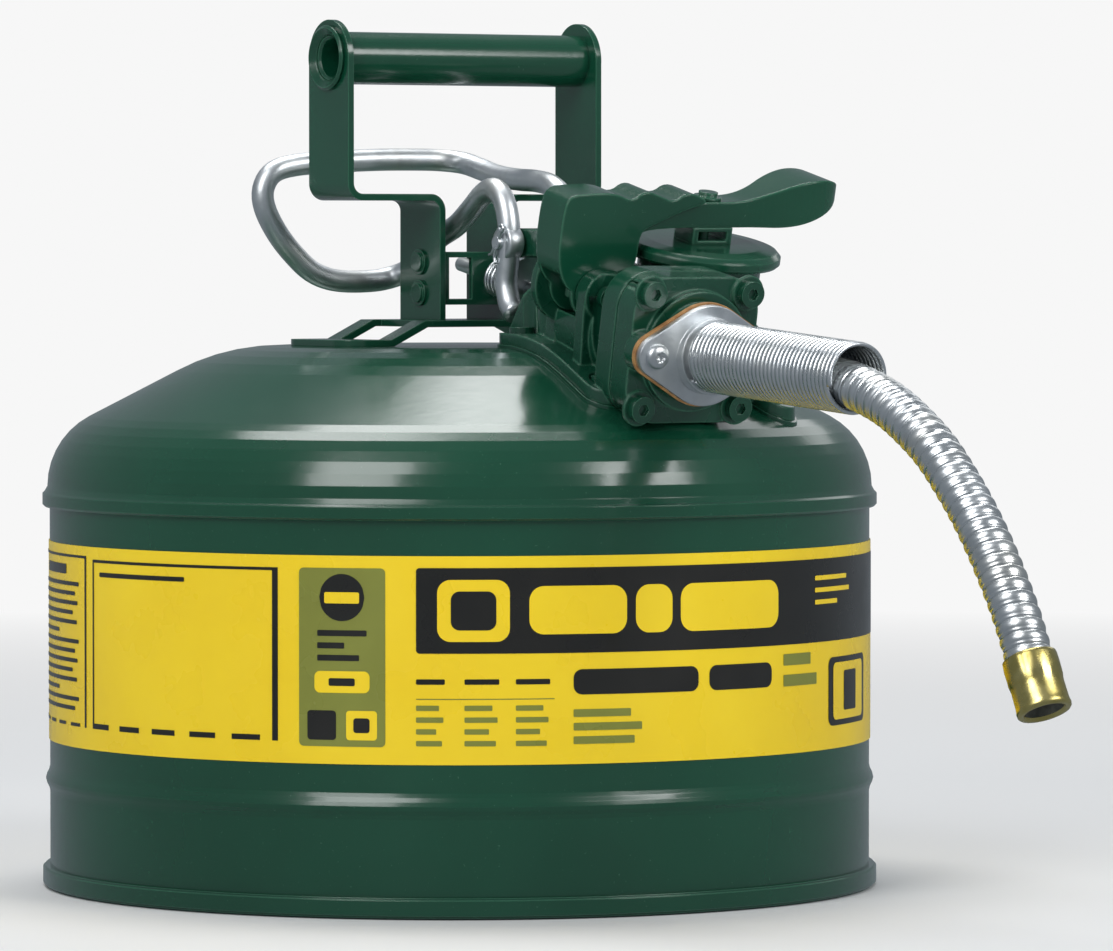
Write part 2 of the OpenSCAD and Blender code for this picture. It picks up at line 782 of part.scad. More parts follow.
arm_w = 11;
module cap_arm() {
  profile = [
    [-7, -5], [6, -5], [10, 8], [14, 18], [20, 22.4], [66, 22.4], [78, 23.4], [88, 26.6], [95, 30.6],
    [98, 35.2], [96, 38.6], [91, 40.4], [84, 40.2], [76, 38], [68, 34.4], [60, 32], [54, 31.4],
    [44, 31.4], [36, 30.8], [20, 30], [4, 26], [-7, 12]
  ];
  hollow = [
    [-12, -8], [60, -8], [60, 29.2], [54, 29.2], [44, 29.2], [36, 28.6], [20, 27.8], [6, 23], [-12, 10]
  ];
  paddle_hollow = [
    [55, 18], [78, 18], [87, 24], [92.6, 30], [94, 34.4], [92, 37], [84, 38], [76, 35.8], [68, 32.2],
    [60, 29.6], [55, 29.2]
  ];
  half_plan = [[-12, 5.5], [58, 5.5], [66, 6.2], [74, 9], [84, 10.8], [93, 9.6], [98, 5]];
  plan = concat(half_plan, [for (i = [6:-1:0]) [half_plan[i][0], -half_plan[i][1]]]);
  color(green) cap_frame() difference() {
    intersection() {
      rotate([90, 0, 0]) linear_extrude(30, center = true) polygon(soft(profile, 3));
      translate([0, 0, -20]) linear_extrude(80) polygon(soft(plan, 2));
      translate([-8, -20, -20]) cube([120, 40, 80]);
    }
    rotate([90, 0, 0]) linear_extrude(arm_w - 3.2, center = true) polygon(hollow);
    intersection() {
      rotate([90, 0, 0]) linear_extrude(30, center = true) polygon(paddle_hollow);
      translate([0, 0, -20]) linear_extrude(80) offset_plan(soft(plan, 2), 1.7);
    }
    along_y(hinge_r + eps, 60);
    translate([cap_reach, 0, 0]) cylinder(r = 2.1, h = 60);
  }
}

// The plan of the arm, drawn in by a flange's thickness.
module offset_plan(points, d) {
  polygon([for (p = points) [p[0] - (p[0] > 80 ? d * (p[0] - 80) / 18 : 0), p[1] * (1 - d / max(abs(p[1]), d + 0.01))]]);
}

module cap_stud() {
  color(green) cap_frame() translate([cap_reach, 0, 0]) {
    translate([0, 0, 31.4 + eps]) cylinder(r = 5, h = 1.1);
    translate([0, 0, 32.4]) cylinder(r = 3.4, h = 1.6);
    translate([0, 0, neck_top + 2.4]) cylinder(r = 2, h = 21);
  }
}

lever_t = 1.5;
module fill_lever() {
  outline = [
    [-9, -2], [9, -2], [15.6, 10], [15.4, 21], [20, 23.4], [34, 29.4], [41.4, 31.2], [41, 33],
    [33.6, 35.6], [28.1, 31.8], [22, 34], [16, 36], [10.6, 32], [3.5, 35], [-6, 34.8], [-15.5, 34],
    [-17, 26], [-16.6, 8]
  ];
  inside = [
    [-14.6, -12], [60, -12], [60, 30], [40, 30.4], [33.6, 32.2], [28.1, 30.9], [22, 31.8], [16, 33],
    [10.6, 31.2], [3.5, 32.6], [-6, 32.4], [-11, 30.4], [-14.6, 24]
  ];
  w = 2 * ear_in - 0.8;
  color(green) cap_frame() difference() {
    union() {
      rotate([90, 0, 0]) linear_extrude(w, center = true) polygon(soft(outline, 2));
      along_y(9.6, w);
    }
    rotate([90, 0, 0]) linear_extrude(w - 2 * lever_t, center = true) polygon(inside);
    along_y(hinge_r + eps, 60);
  }
}

module hinge_pin() { color(zinc) cap_frame() along_y(hinge_r, 2 * ear_out + 1); }

module hinge_screws() {
  color(green) cap_frame() for (s = [-1, 1]) translate([0, s * (ear_out + 1.9), 0]) {
    along_y(4, 2.6);
  }
}

// Coils of the spring that shuts the cap, round the hinge pin.
module cap_spring() {
  color(zinc) cap_frame() rotate([-90, 0, 0]) rotate_extrude() {
    for (i = [-2:2]) translate([3.5, i * 1.5]) circle(0.7, $fn = 16);
    translate([3.1, -3.4]) square([0.5, 6.8]);
  }
}

module fill_screen() {
  color(zinc) cap_frame() translate([cap_reach, 0, 0]) difference() {
    union() {
      translate([0, 0, -75]) cylinder(r = neck_bore_r - 1.6, h = 80);
      translate([0, 0, 3.4]) cylinder(r = neck_bore_r - eps, h = 1.6);
    }
    translate([0, 0, -73.8]) cylinder(r = neck_bore_r - 2.6, h = 80);
  }
}

module pour_screen() {
  color(zinc) translate([pour_x, pour_y, 0]) difference() {
    translate([0, 0, 150]) cylinder(r = port_r - 0.1, h = 43);
    translate([0, 0, 151]) cylinder(r = port_r - 1, h = 43);
  }
}

can_body();
can_bottom();
can_top();
label_wrap();
handle_bridge();
rear_strap();
front_strap();
grip_in_place();  // grip_tube
strap_rivets();
spring_bracket();
manifold_gasket();
manifold_body();
manifold_screws();
cover_gasket();
valve_cover();
cover_screws();
spout_gasket();
spout_flange();
spout_screws();
spring_guard();
hose();
hose_tip();
trigger_rod();
trigger_pin();
pin_clip();
valve_stem();
stem_collar();
valve_disc();
valve_seal();
valve_spring();
fill_cap();
cap_seal();
cap_post();
cap_arm();
cap_stud();
fill_lever();
hinge_pin();
hinge_screws();
cap_spring();
fill_screen();
pour_screen();
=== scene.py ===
"""Safety gas can: looks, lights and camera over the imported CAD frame. All lengths are in metres."""

import math

import bpy
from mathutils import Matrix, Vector


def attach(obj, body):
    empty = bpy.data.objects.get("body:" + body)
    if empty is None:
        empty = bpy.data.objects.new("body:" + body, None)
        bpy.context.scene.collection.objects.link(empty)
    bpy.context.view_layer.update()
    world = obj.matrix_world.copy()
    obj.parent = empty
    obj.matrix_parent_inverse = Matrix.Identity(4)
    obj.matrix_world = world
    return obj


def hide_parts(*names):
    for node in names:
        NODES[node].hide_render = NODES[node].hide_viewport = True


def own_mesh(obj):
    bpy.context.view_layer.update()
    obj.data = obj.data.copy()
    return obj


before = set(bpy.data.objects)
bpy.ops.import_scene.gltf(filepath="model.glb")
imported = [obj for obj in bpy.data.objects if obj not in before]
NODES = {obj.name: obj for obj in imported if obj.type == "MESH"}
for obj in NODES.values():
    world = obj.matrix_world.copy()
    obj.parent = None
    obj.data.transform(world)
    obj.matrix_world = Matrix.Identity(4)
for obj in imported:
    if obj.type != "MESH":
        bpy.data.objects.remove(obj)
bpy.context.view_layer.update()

MM = 0.001

# ---------- Camera and stage ----------

VIEW_AZIMUTH = math.radians(-32)
CAMERA_DISTANCE = 2.6248
CAMERA_HEIGHT = 0.2321
BACKGROUND = (0.93, 0.93, 0.93)
# Focal length in widths of the picture, and how far the aim leaves the can's axis over that length.
FOCAL_WIDTHS = 6.5876
SENSOR_WIDTH = 36
AIM_RIGHT = 0.0869
AIM_DOWN = 0.2179


def make_camera():
    """The camera stands level with the fill cap and looks slightly down and to the right."""
    ahead = Vector((-math.sin(VIEW_AZIMUTH), math.cos(VIEW_AZIMUTH), 0))
    right = Vector((math.cos(VIEW_AZIMUTH), math.sin(VIEW_AZIMUTH), 0))
    data = bpy.data.cameras.new("camera")
    camera = bpy.data.objects.new("camera", data)
    bpy.context.scene.collection.objects.link(camera)
    camera.location = -ahead * CAMERA_DISTANCE + Vector((0, 0, CAMERA_HEIGHT))
    aim = ahead * FOCAL_WIDTHS + right * AIM_RIGHT - Vector((0, 0, AIM_DOWN))
    camera.rotation_mode = "QUATERNION"
    camera.rotation_quaternion = aim.to_track_quat("-Z", "Y")
    data.sensor_width = SENSOR_WIDTH
    data.lens = SENSOR_WIDTH * FOCAL_WIDTHS
    data.clip_start = 0.1
    data.clip_end = 60
    bpy.context.scene.camera = camera


# ---------- Shader helpers ----------


class Shader:
    """A small builder for one node material."""

    def __init__(self, name):
        self.material = bpy.data.materials.new(name)
        self.material.use_nodes = True
        self.tree = self.material.node_tree
        self.body = self.tree.nodes["Principled BSDF"]
        self.place = self.add("ShaderNodeTexCoord").outputs["Object"]

    def add(self, kind, **values):
        node = self.tree.nodes.new(kind)
        for key, value in values.items():
            setattr(node, key, value)
        return node

    def link(self, source, target):
        self.tree.links.new(source, target)

    def noise(self, scale, detail=3, rough=0.55, stretch=None):
        node = self.add("ShaderNodeTexNoise")
        node.inputs["Scale"].default_value = scale
        node.inputs["Detail"].default_value = detail
        node.inputs["Roughness"].default_value = rough
        place = self.place
        if stretch:
            mapping = self.add("ShaderNodeMapping")
            mapping.inputs["Scale"].default_value = stretch
            self.link(place, mapping.inputs["Vector"])
            place = mapping.outputs["Vector"]
        self.link(place, node.inputs["Vector"])
        return node.outputs["Fac"]

    def ramp(self, source, low, high, to_low=0.0, to_high=1.0):
        node = self.add("ShaderNodeMapRange")
        node.inputs["From Min"].default_value = low
        node.inputs["From Max"].default_value = high
        node.inputs["To Min"].default_value = to_low
        node.inputs["To Max"].default_value = to_high
        self.link(source, node.inputs["Value"])
        return node.outputs["Result"]

    def math(self, operation, a, b):
        node = self.add("ShaderNodeMath", operation=operation)
        for socket, value in zip(node.inputs, (a, b)):
            if isinstance(value, (int, float)):
                socket.default_value = value
            else:
                self.link(value, socket)
        return node.outputs["Value"]

    def mix(self, factor, a, b):
        node = self.add("ShaderNodeMix", data_type="RGBA")
        sockets = [s for s in node.inputs if s.type == "RGBA"]
        for socket, value in zip(sockets, (a, b)):
            if isinstance(value, tuple):
                socket.default_value = (*value, 1)
            else:
                self.link(value, socket)
        self.link(factor, node.inputs[0])
        return [s for s in node.outputs if s.type == "RGBA"][0]

    def edges(self, radius):
        """A mask that is 1 on sharp edges, used to paint highlights, and the rounded normal that goes with
        it.
        """
        bevel = self.add("ShaderNodeBevel", samples=6)
        bevel.inputs["Radius"].default_value = radius
        geometry = self.add("ShaderNodeNewGeometry")
        dot = self.add("ShaderNodeVectorMath", operation="DOT_PRODUCT")
        self.link(bevel.outputs["Normal"], dot.inputs[0])
        self.link(geometry.outputs["Normal"], dot.inputs[1])
        return self.ramp(dot.outputs["Value"], 0.97, 0.75), bevel.outputs["Normal"]

    def bump(self, height, strength, distance, normal=None):
        node = self.add("ShaderNodeBump")
        node.inputs["Strength"].default_value = strength
        node.inputs["Distance"].default_value = distance
        self.link(height, node.inputs["Height"])
        if normal is not None:
            self.link(normal, node.inputs["Normal"])
        return node.outputs["Normal"]

    def set(self, **values):
        for key, value in values.items():
            socket = self.body.inputs[key.replace("_", " ")]
            if isinstance(value, tuple):
                socket.default_value = (*value, 1)
            elif isinstance(value, (int, float)):
                socket.default_value = value
            else:
                self.link(value, socket)


def enamel(name, edge_radius, peel, tone=1.0):
    """Glossy dark green enamel with orange peel, a painted highlight on sharp edges, and a little dust."""
    s = Shader(name)
    edge_glint, rounded = s.edges(edge_radius)
    deep = (0.0035 * tone, 0.052 * tone, 0.026 * tone)
    light = (0.0055 * tone, 0.066 * tone, 0.034 * tone)
    colour = s.mix(s.ramp(s.noise(9), 0.35, 0.65), deep, light)
    # Sharp edges are mixed towards a light green: a painted highlight standing in for the glints on the
    # enamel's edges.
    colour = s.mix(s.math("MULTIPLY", edge_glint, 0.6), colour, (0.08, 0.28, 0.17))
    specks = s.ramp(s.noise(900, 2, 0.5), 0.70, 0.78)
    colour = s.mix(s.math("MULTIPLY", specks, 0.25), colour, (0.10, 0.26, 0.17))
    peel_height = s.noise(260, 2, 0.5)
    s.set(
        Base_Color=colour,
        Roughness=s.ramp(s.noise(30, 4), 0.3, 0.7, 0.16, 0.26),
        Normal=s.bump(peel_height, peel, 0.0004, rounded),
        Coat_Weight=0.6,
        Coat_Roughness=0.13,
    )
    return s.material


def cast_enamel(name):
    """The same enamel over a sand casting, whose grain shows through."""
    s = Shader(name)
    edge_glint, rounded = s.edges(0.0016)
    colour = s.mix(s.ramp(s.noise(14), 0.35, 0.65), (0.0035, 0.050, 0.026), (0.006, 0.067, 0.035))
    # Sharp edges are mixed towards a light green: a painted highlight.
    colour = s.mix(s.math("MULTIPLY", edge_glint, 0.55), colour, (0.08, 0.27, 0.165))
    grain = s.math("ADD", s.noise(420, 3, 0.6), s.math("MULTIPLY", s.noise(90, 2), 1.4))
    s.set(
        Base_Color=colour,
        Roughness=s.ramp(s.noise(60, 4), 0.3, 0.7, 0.2, 0.34),
        Normal=s.bump(grain, 0.35, 0.0004, rounded),
        Coat_Weight=0.6,
        Coat_Roughness=0.1,
    )
    return s.material


def zinc(name, warm, rough, edge_radius=0.0004, stretch=(1, 1, 1)):
    """Bright zinc plate, bluish and finely marked, with clouds of yellow. warm is the share of yellow."""
    s = Shader(name)
    edge_glint, rounded = s.edges(edge_radius)
    tint = s.ramp(s.noise(38, 3), 0.48, 0.72, 0, warm)
    colour = s.mix(tint, (0.76, 0.79, 0.81), (0.80, 0.74, 0.56))
    colour = s.mix(s.ramp(s.noise(150, 4), 0.5, 0.75, 0, 0.35), colour, (0.46, 0.48, 0.50))
    # Sharp edges are mixed towards a paler grey: a painted highlight.
    colour = s.mix(s.math("MULTIPLY", edge_glint, 0.5), colour, (0.85, 0.87, 0.88))
    marks = s.noise(500, 3, 0.6, stretch)
    s.set(
        Base_Color=colour,
        Metallic=1.0,
        Roughness=s.ramp(s.noise(110, 4), 0.3, 0.7, *rough),
        Normal=s.bump(marks, 0.12, 0.0003, rounded),
    )
    return s.material


def brass(name):
    """Brass with a slightly dull, warmer skin and a painted highlight on its edges."""
    s = Shader(name)
    edge_glint, rounded = s.edges(0.0004)
    colour = s.mix(s.ramp(s.noise(120, 3), 0.35, 0.7), (0.56, 0.46, 0.15), (0.72, 0.62, 0.27))
    # Sharp edges are mixed towards pale brass: a painted highlight.
    colour = s.mix(s.math("MULTIPLY", edge_glint, 0.6), colour, (0.9, 0.82, 0.5))
    s.set(
        Base_Color=colour,
        Metallic=1.0,
        Roughness=s.ramp(s.noise(200, 4), 0.3, 0.7, 0.18, 0.36),
        Normal=s.bump(s.noise(600, 3), 0.1, 0.0003, rounded),
    )
    return s.material


def dull(name, dark, light, rough, grain):
    """Rubber, fibre or bare parts: a matt mottled skin with a fine grain."""
    s = Shader(name)
    edge_glint, rounded = s.edges(0.0003)
    colour = s.mix(s.ramp(s.noise(grain, 4), 0.35, 0.65), dark, light)
    # Sharp edges are mixed towards a lighter tone: a painted highlight.
    colour = s.mix(s.math("MULTIPLY", edge_glint, 0.25), colour, tuple(min(1, c * 1.8 + 0.01) for c in light))
    s.set(
        Base_Color=colour,
        Roughness=s.ramp(s.noise(80, 3), 0.3, 0.7, rough - 0.1, rough + 0.1),
        Normal=s.bump(s.noise(grain * 4, 3), 0.25, 0.0003, rounded),
    )
    return s.material


def printed(name, colour, dark):
    """Gloss vinyl printed in one ink, with faint unevenness."""
    s = Shader(name)
    ink = s.mix(s.ramp(s.noise(22, 4), 0.3, 0.7), dark, colour)
    s.set(
        Base_Color=ink,
        Roughness=s.ramp(s.noise(45, 3), 0.3, 0.7, 0.24, 0.34),
        Normal=s.bump(s.noise(140, 2), 0.04, 0.0003),
        Coat_Weight=0.25,
        Coat_Roughness=0.12,
    )
    return s.material


# ---------- Mesh helpers ----------


def mesh_object(name, vertices, faces, material, smooth=True):
    data = bpy.data.meshes.new(name)
    data.from_pydata([tuple(v) for v in vertices], [], faces)
    data.materials.append(material)
    if smooth:
        data.shade_smooth()
    data.update()
    piece = bpy.data.objects.new(name, data)
    bpy.context.scene.collection.objects.link(piece)
    return piece


def smooth_path(points, spacing):
    """Points at an even spacing along a smooth curve through the given ones."""
    points = [Vector(p) for p in points]
    fine = []
    for i in range(len(points) - 1):
        a = points[max(i - 1, 0)]
        b = points[i]
        c = points[i + 1]
        d = points[min(i + 2, len(points) - 1)]
        for step in range(12):
            t = step / 12
            fine.append(
                0.5 * (2 * b + (c - a) * t + (2 * a - 5 * b + 4 * c - d) * t * t
                       + (3 * b - a - 3 * c + d) * t ** 3)
            )
    fine.append(points[-1])
    return even(fine, spacing)


def even(points, spacing):
    """The same line, resampled evenly."""
    lengths = [0.0]
    for a, b in zip(points, points[1:]):
        lengths.append(lengths[-1] + (b - a).length)
    count = max(2, round(lengths[-1] / spacing))
    out = []
    j = 0
    for i in range(count + 1):
        want = lengths[-1] * i / count
        while j < len(lengths) - 2 and lengths[j + 1] < want:
            j += 1
        t = (want - lengths[j]) / max(lengths[j + 1] - lengths[j], 1e-12)
        out.append(points[j].lerp(points[j + 1], min(t, 1)))
    return out


def sweep(name, path, radius, sides, material, start=(1, 0, 0.01)):
    """A capped tube along path. radius is a number, or a function of the distance travelled and of turns."""
    vertices = []
    faces = []
    normal = Vector(start)
    travelled = 0.0
    for i, point in enumerate(path):
        ahead = (path[min(i + 1, len(path) - 1)] - path[max(i - 1, 0)]).normalized()
        normal = (normal - ahead * normal.dot(ahead)).normalized()
        side = ahead.cross(normal)
        if i:
            travelled += (point - path[i - 1]).length
        for k in range(sides):
            turn = k / sides
            r = radius(travelled, turn) if callable(radius) else radius
            angle = 2 * math.pi * turn
            vertices.append(point + r * (math.cos(angle) * normal + math.sin(angle) * side))
    for i in range(len(path) - 1):
        for k in range(sides):
            n = (k + 1) % sides
            faces.append((i * sides + k, i * sides + n, (i + 1) * sides + n, (i + 1) * sides + k))
    faces.append(tuple(range(sides - 1, -1, -1)))
    faces.append(tuple((len(path) - 1) * sides + k for k in range(sides)))
    return mesh_object(name, vertices, faces, material)


def turned(name, profile, origin, axis, sides, material, closed=False):
    """A profile of (radius, distance) turned round an axis through origin."""
    axis = Vector(axis).normalized()
    u = axis.orthogonal().normalized()
    v = axis.cross(u)
    origin = Vector(origin)
    vertices = []
    faces = []
    for r, z in profile:
        for k in range(sides):
            angle = 2 * math.pi * k / sides
            vertices.append(origin + axis * z + r * (math.cos(angle) * u + math.sin(angle) * v))
    rows = len(profile)
    for i in range(rows if closed else rows - 1):
        j = (i + 1) % rows
        for k in range(sides):
            n = (k + 1) % sides
            faces.append((i * sides + k, i * sides + n, j * sides + n, j * sides + k))
    return mesh_object(name, vertices, faces, material)


def coil(name, origin, axis, radius, wire, length, turns, material, sides=10, steps=36, pinch=0.0):
    """A helical spring. wire is its half thickness, radial and axial. pinch is the share closed at an end."""
    axis = Vector(axis).normalized()
    u = axis.orthogonal().normalized()
    v = axis.cross(u)
    origin = Vector(origin)
    deep, wide = wire
    total = int(turns * steps)
    closed = 2 * wide * turns * pinch
    vertices = []
    faces = []
    for i in range(total + 1):
        t = i / total
        if pinch:
            inner = min(max((t - pinch) / (1 - 2 * pinch), 0), 1)
            ends = min(t, pinch) + max(t - 1 + pinch, 0)
            along = closed * ends / pinch + (length - 2 * closed) * inner
        else:
            along = length * t
        angle = 2 * math.pi * turns * t
        out = math.cos(angle) * u + math.sin(angle) * v
        centre = origin + axis * along + radius * out
        for k in range(sides):
            a = 2 * math.pi * k / sides
            vertices.append(centre + deep * math.cos(a) * out + wide * math.sin(a) * axis)
        if i:
            low = (i - 1) * sides
            for k in range(sides):
                n = (k + 1) % sides
                faces.append((low + k, low + n, low + sides + n, low + sides + k))
    faces.append(tuple(range(sides - 1, -1, -1)))
    faces.append(tuple(total * sides + k for k in range(sides)))
    return mesh_object(name, vertices, faces, material)


# ---------- Materials ----------

SHEET_GREEN = enamel("sheet_enamel", 0.0006, 0.10)
TUBE_GREEN = enamel("handle_enamel", 0.0007, 0.14)
PRESSED_GREEN = enamel("lever_enamel", 0.0016, 0.2)
CAST_GREEN = cast_enamel("cast_enamel")
SCREW_GREEN = enamel("screw_enamel", 0.0005, 0.2, 0.8)
ROD_ZINC = zinc("rod_zinc", 0.3, (0.34, 0.5))
FLANGE_ZINC = zinc("flange_zinc", 0.15, (0.32, 0.5), 0.0008)
SPRING_ZINC = zinc("spring_zinc", 0.2, (0.22, 0.36))
HOSE_ZINC = zinc("hose_zinc", 0.3, (0.24, 0.38))
PIN_ZINC = zinc("pin_zinc", 0.25, (0.25, 0.4))
TIP_BRASS = brass("tip_brass")
RUBBER = dull("black_rubber", (0.012, 0.012, 0.013), (0.03, 0.03, 0.03), 0.6, 90)
FIBRE = dull("gasket_fibre", (0.26, 0.12, 0.04), (0.46, 0.25, 0.09), 0.75, 260)
SCREEN_STEEL = zinc("screen_steel", 0.1, (0.35, 0.5), stretch=(1, 1, 6))
# Dark, matt colour for the inside of the hose end: painted shade.
BORE_PAINTED_SHADE = dull("bore_painted_shade", (0.05, 0.055, 0.05), (0.12, 0.125, 0.11), 0.5, 300)
LABEL_YELLOW = printed("label_yellow", (0.95, 0.69, 0.012), (0.89, 0.62, 0.010))
INK_BLACK = printed("label_black", (0.016, 0.015, 0.013), (0.010, 0.010, 0.009))
INK_OLIVE = printed("label_olive", (0.24, 0.26, 0.042), (0.20, 0.215, 0.036))

MATERIAL_OF = {
    SHEET_GREEN: ["can_body", "can_bottom", "can_top"],
    TUBE_GREEN: ["handle_bridge", "rear_strap", "front_strap", "grip_tube", "strap_rivets", "spring_bracket"],
    PRESSED_GREEN: ["fill_cap", "cap_post", "cap_arm", "cap_stud", "fill_lever"],
    CAST_GREEN: ["manifold_body", "valve_cover"],
    SCREW_GREEN: ["manifold_screws", "cover_screws", "hinge_screws", "manifold_gasket", "cover_gasket"],
    FLANGE_ZINC: ["spout_flange"],
    PIN_ZINC: ["trigger_pin", "valve_stem", "stem_collar", "valve_disc", "hinge_pin"],
    SPRING_ZINC: ["cap_spring"],
    RUBBER: ["cap_seal", "valve_seal"],
    FIBRE: ["spout_gasket"],
    SCREEN_STEEL: ["fill_screen", "pour_screen"],
    LABEL_YELLOW: ["label_wrap"],
}


def dress_nodes():
    """Every CAD node gets the material of the real piece."""
    for material, names in MATERIAL_OF.items():
        for name in names:
            data = NODES[name].data
            data.materials.clear()
            data.materials.append(material)


# ---------- Valve axis, shared by the parts along it ----------

VALVE_X = 0.007
VALVE_TILT = math.radians(11)
COVER_FACE = Vector((VALVE_X, -0.139, 0.192))
VALVE_BACK = Vector((0, math.cos(VALVE_TILT), math.sin(VALVE_TILT)))
GUARD_TILT = math.radians(4)
GUARD_OUT = Vector((0, -math.cos(GUARD_TILT), -math.sin(GUARD_TILT)))
GUARD_START = COVER_FACE - VALVE_BACK * 0.010 + GUARD_OUT * 0.004
GUARD_LENGTH = 0.086
GUARD_RADIUS = 0.0123
GUARD_WIRE = 0.00085
GUARD_PITCH = 0.00233

# ---------- Hose ----------

HOSE_ROUTE = [
    (163, 188.7), (180, 187.5), (200, 186), (220, 184), (238, 180.9), (254.7, 176), (268, 169.7),
    (282, 161), (295, 149.5), (305, 139), (314.7, 126.8), (325.6, 110.5), (333.1, 96.2),
]
HOSE_RADIUS = 0.00795
HOSE_PITCH = 0.0046
RIB_DEPTH = 0.0008


def rib(travelled, turn):
    """Radius of the interlocked hose: a rounded band, a step down and a narrow groove, on a helix."""
    phase = (travelled / HOSE_PITCH + turn) % 1
    if phase < 0.6:
        crown = math.sin(math.pi * (0.12 + 0.76 * phase / 0.6))
        return HOSE_RADIUS - RIB_DEPTH * 0.5 * (1 - crown)
    if phase < 0.84:
        return HOSE_RADIUS - RIB_DEPTH * (0.42 + 0.1 * (phase - 0.6) / 0.24)
    groove = math.sin(math.pi * (phase - 0.84) / 0.16)
    return HOSE_RADIUS - RIB_DEPTH * (0.5 + 0.75 * groove)


def make_hose():
    points = [(VALVE_X, -y * MM, z * MM) for y, z in HOSE_ROUTE]
    route = smooth_path(points, 0.005)
    fine = smooth_path(points, 0.0002)
    hose = sweep("flexible_hose", fine, rib, 40, HOSE_ZINC)
    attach(hose, "can")
    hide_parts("hose")
    length = sum((b - a).length for a, b in zip(route, route[1:]))
    return hose, route, length


def make_guard():
    """The guard is wound close from flattened wire, so its coils almost touch."""
    guard = coil(
        "close_wound_guard", GUARD_START + GUARD_OUT * GUARD_PITCH / 2, GUARD_OUT, GUARD_RADIUS - GUARD_WIRE,
        (GUARD_WIRE, GUARD_PITCH * 0.49), GUARD_LENGTH - GUARD_PITCH, GUARD_LENGTH / GUARD_PITCH - 1,
        SPRING_ZINC, sides=12, steps=72,
    )
    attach(guard, "can")
    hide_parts("spring_guard")
    return guard


HOSE_SKIN = 0.0079
CRIMP = (0.0008, 0.0088)
DENT_DEPTH = 0.00032
RIDGES = 22


def make_tip():
    """The brass end: a dented crimp over the hose, a plain barrel and a rolled lip with an open mouth;
    inside, a dark ridged cup stands for the shade in the bore.
    """
    end = hose_path[-1]
    ahead = (hose_path[-1] - hose_path[-3]).normalized()
    outline = [
        (6.9, 19.3), (6.9, 0.8), (8.3, 0.8), (8.5, 0.1), (8.9, 0.3), (9.1, 1.2), (9.15, 3), (9.15, 5.5),
        (9.1, 8), (8.85, 9.4), (8.75, 10.6), (8.8, 13), (8.85, 16), (8.95, 17.2), (9.1, 18),
        (9.0, 18.9), (8.6, 19.4), (7.6, 19.5),
    ]
    tip = turned(
        "brass_hose_end", [(r * MM, z * MM) for r, z in outline], end, ahead, 72, TIP_BRASS, closed=True
    )
    for vertex in tip.data.vertices:
        offset = vertex.co - end
        along = offset.dot(ahead)
        out = offset - ahead * along
        if out.length < HOSE_SKIN or not CRIMP[0] < along < CRIMP[1]:
            continue
        wave = math.sin(out.x * 2100 + 1.3) * math.sin(along * 1500 + out.z * 1300)
        vertex.co -= out.normalized() * DENT_DEPTH * max(wave, 0)
    tip.data.update()
    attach(tip, "can")
    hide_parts("hose_tip")
    # The cup's ridges follow the hose's inner convolutions; its dark colour and the disc that closes it are
    # painted shade deep in the bore.
    ridges = [(0.0067 + 0.00018 * (i % 2), 0.0184 - 0.0007 * i) for i in range(RIDGES)]
    bore = turned("hose_bore", ridges + [(0.0002, ridges[-1][1])], end, ahead, 48, BORE_PAINTED_SHADE)
    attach(bore, "can")
    return tip, bore


PAN_HEAD = [
    (4.4, 0), (4.4, 0.5), (4.25, 1.1), (3.8, 1.75), (3.0, 2.25), (2.2, 2.5), (1.9, 2.55), (1.75, 2.4),
    (1.6, 1.2), (0.02, 1.0),
]
SCREW_REACH = 0.0210
SCREW_SEAT = 0.01012
RECESS_RADIUS = 0.0018
LOBE_DEPTH = 0.17


def make_pan_heads():
    """The flange's two screws: low domes with a six-lobed recess."""
    heads = []
    for label, side in (("rear", -1), ("front", 1)):
        seat = COVER_FACE - VALVE_BACK * SCREW_SEAT + Vector((side * SCREW_REACH, 0, 0))
        head = turned(
            f"flange_screw_{label}", [(r * MM, z * MM) for r, z in PAN_HEAD], seat, -VALVE_BACK, 48, PIN_ZINC
        )
        across = Vector((1, 0, 0))
        up = VALVE_BACK.cross(across)
        for vertex in head.data.vertices:
            offset = vertex.co - seat
            out = offset + VALVE_BACK * -offset.dot(VALVE_BACK)
            if 0.0001 < out.length < RECESS_RADIUS:
                lobe = math.cos(6 * math.atan2(out.dot(up), out.dot(across)))
                vertex.co -= out * LOBE_DEPTH * (1 - lobe)
        head.data.update()
        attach(head, "can")
        heads.append(head)
    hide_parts("spout_screws")
    return heads


make_camera()
screw_heads = make_pan_heads()
hose, hose_path, hose_length = make_hose()
guard = make_guard()
tip, bore = make_tip()

# ---------- Trigger and springs ----------

